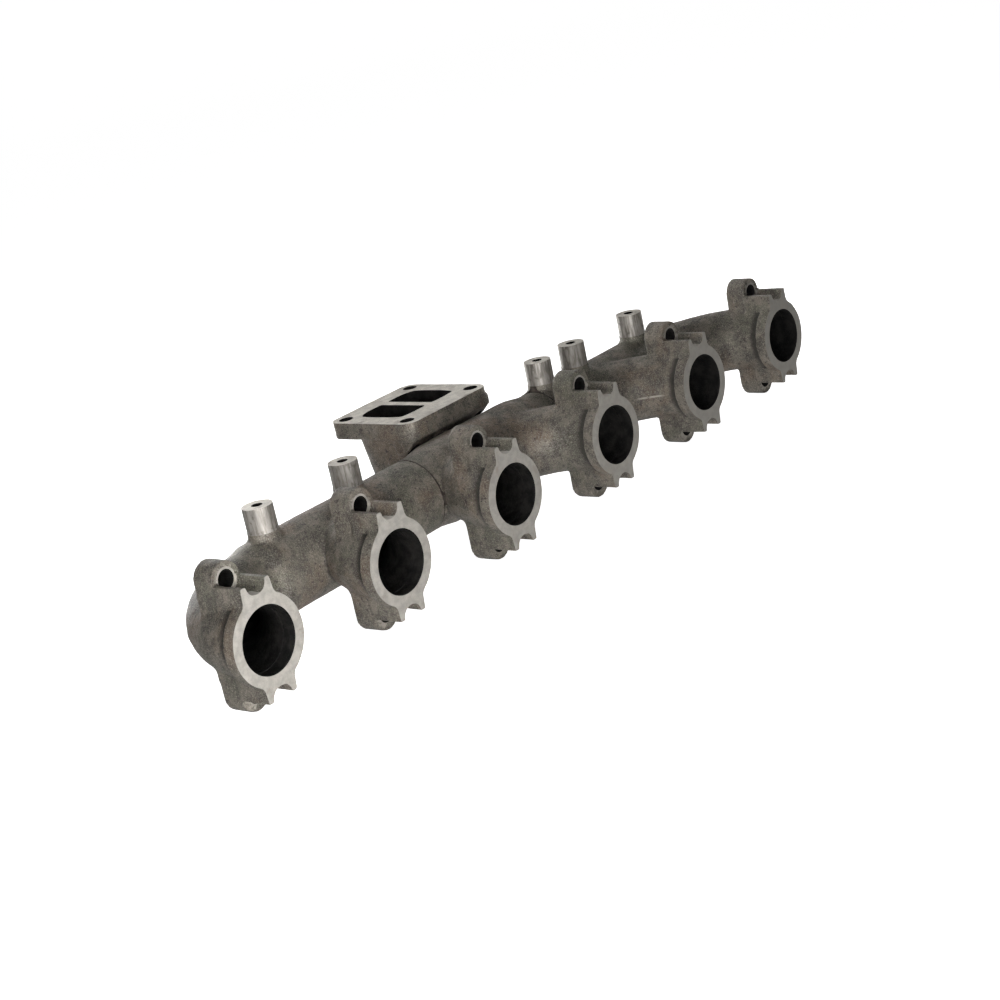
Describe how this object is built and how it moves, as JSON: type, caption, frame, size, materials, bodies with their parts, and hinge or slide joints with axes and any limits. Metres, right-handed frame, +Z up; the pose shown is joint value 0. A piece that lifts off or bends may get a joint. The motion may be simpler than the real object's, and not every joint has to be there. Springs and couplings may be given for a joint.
{
  "type": "exhaust manifold",
  "caption": "Cast-iron exhaust manifold: ringed ports on bent runners join a log with a raised turbocharger flange, tapped posts, and slip joints closed by split seal rings.",
  "frame": {"origin": "on the plane of the port rings that meets the cylinder head, midway between the two middle ports and level with the ports' centres", "axes": "+X along the row of ports toward the end with three posts, +Y away from the cylinder head, +Z up toward the turbocharger flange and the posts"},
  "size_m": [0.904, 0.243, 0.133],
  "materials": {
    "cast_iron": "rough sand-cast skin, machined where it meets other parts",
    "ring_steel": "turned and split"
  },
  "bodies": {
    "center": {"center_section": "cast_iron"},
    "front_rings": {"front_seal_ring_1": "ring_steel", "front_seal_ring_2": "ring_steel", "front_seal_ring_3": "ring_steel"},
    "front": {"front_section": "cast_iron"},
    "rear_rings": {"rear_seal_ring_1": "ring_steel", "rear_seal_ring_2": "ring_steel", "rear_seal_ring_3": "ring_steel"},
    "rear": {"rear_section": "cast_iron"}
  },
  "joints": [
    {"name": "front_swivel", "type": "hinge", "parent": "center", "child": "front_rings", "pos_m": [-0.1165, 0.109, 0], "axis": [1, 0, 0], "continuous": true},
    {"name": "front_slip", "type": "slide", "parent": "front_rings", "child": "front", "axis": [-1, 0, 0], "range_m": [-0.001, 0.004]},
    {"name": "rear_swivel", "type": "hinge", "parent": "center", "child": "rear_rings", "pos_m": [0.1165, 0.109, 0], "axis": [1, 0, 0], "range_deg": [-240, 60]},
    {"name": "rear_slip", "type": "slide", "parent": "rear_rings", "child": "rear", "axis": [1, 0, 0], "range_m": [-0.001, 0.004]}
  ]
}
